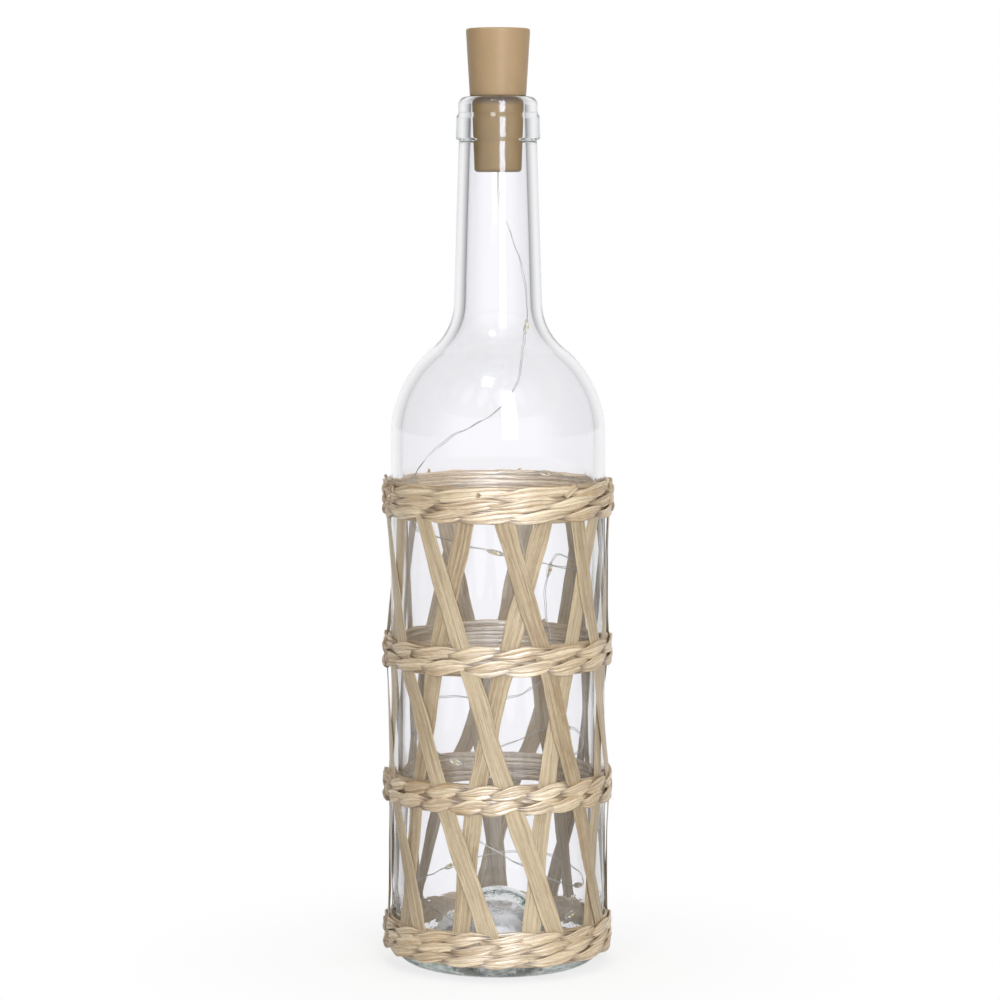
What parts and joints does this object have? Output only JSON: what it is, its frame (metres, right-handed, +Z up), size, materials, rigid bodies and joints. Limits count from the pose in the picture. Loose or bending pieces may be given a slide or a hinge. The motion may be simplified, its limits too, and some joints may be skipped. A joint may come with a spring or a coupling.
{
  "type": "bottle light",
  "caption": "Clear glass bottle in a woven leaf sleeve, closed by a cork-shaped stopper that holds button cells, a slide switch and a thin light wire that hangs in loops inside.",
  "frame": {"origin": "centre of the bottle's base, on the surface it stands on", "axes": "+Z up along the bottle's axis, +X to the right in the picture, -Y towards the camera"},
  "size_m": [0.0802, 0.0802, 0.3276],
  "materials": {
    "glass": "clear and smooth",
    "woven_leaf": "dried leaf, braided, satin",
    "leaf_strip": "dried leaf, flat, fine grain",
    "stopper_plastic": "moulded, tan, matt",
    "slider_plastic": "moulded, darker tan",
    "carrier_plastic": "moulded, black",
    "seal_rubber": "soft, pale grey",
    "board": "green resist",
    "solder": "bright solder",
    "resistor_body": "black, matt",
    "contact_metal": "nickel plated",
    "cell_steel": "bright steel",
    "wire_metal": "bright lacquered wire",
    "bead_resin": "clear resin drops",
    "lamp_chip": "yellow phosphor"
  },
  "bodies": {
    "bottle": {"glass_bottle": "glass", "top_braid_upper": "woven_leaf", "top_braid_lower": "woven_leaf", "second_braid_upper": "woven_leaf", "second_braid_lower": "woven_leaf", "third_braid_upper": "woven_leaf", "third_braid_lower": "woven_leaf", "bottom_braid_upper": "woven_leaf", "bottom_braid_lower": "woven_leaf", "left_strip_1": "leaf_strip", "left_strip_2": "leaf_strip", "left_strip_3": "leaf_strip", "left_strip_4": "leaf_strip", "left_strip_5": "leaf_strip", "left_strip_6": "leaf_strip", "left_strip_7": "leaf_strip", "left_strip_8": "leaf_strip", "left_strip_9": "leaf_strip", "right_strip_1": "leaf_strip", "right_strip_2": "leaf_strip", "right_strip_3": "leaf_strip", "right_strip_4": "leaf_strip", "right_strip_5": "leaf_strip", "right_strip_6": "leaf_strip", "right_strip_7": "leaf_strip", "right_strip_8": "leaf_strip", "right_strip_9": "leaf_strip"},
    "stopper": {"stopper_plug": "stopper_plastic", "wire_seal": "seal_rubber", "circuit_board": "board", "solder_joints": "solder", "resistor": "resistor_body", "spring_contact": "contact_metal", "cell_1": "cell_steel", "cell_2": "cell_steel", "cell_3": "cell_steel", "feed_strip": "contact_metal", "light_wire": "wire_metal", "led_bead_1": "bead_resin", "led_bead_2": "bead_resin", "led_bead_3": "bead_resin", "led_bead_4": "bead_resin", "led_bead_5": "bead_resin", "led_bead_6": "bead_resin", "led_bead_7": "bead_resin", "led_bead_8": "bead_resin", "led_bead_9": "bead_resin", "led_bead_10": "bead_resin", "led_bead_11": "bead_resin", "led_bead_12": "bead_resin", "led_chips": "lamp_chip"},
    "cap": {"stopper_cap": "stopper_plastic", "switch_carrier": "carrier_plastic", "battery_contact": "contact_metal", "feed_contact": "contact_metal"},
    "slider": {"switch_slider": "slider_plastic", "switch_wiper": "contact_metal"}
  },
  "joints": [
    {"name": "stopper_pull", "type": "slide", "parent": "bottle", "child": "stopper", "axis": [0, 0, 1], "range_m": [0, 0.06], "deforming": ["light_wire", "led_bead_1", "led_bead_2", "led_bead_3", "led_bead_4", "led_bead_5", "led_bead_6", "led_bead_7", "led_bead_8", "led_bead_9", "led_bead_10", "led_bead_11", "led_bead_12", "led_chips"]},
    {"name": "cap_pull", "type": "slide", "parent": "stopper", "child": "cap", "axis": [0, 0, 1], "range_m": [0, 0.02]},
    {"name": "switch_slide", "type": "slide", "parent": "cap", "child": "slider", "axis": [1, 0, 0], "range_m": [0, 0.002]}
  ]
}
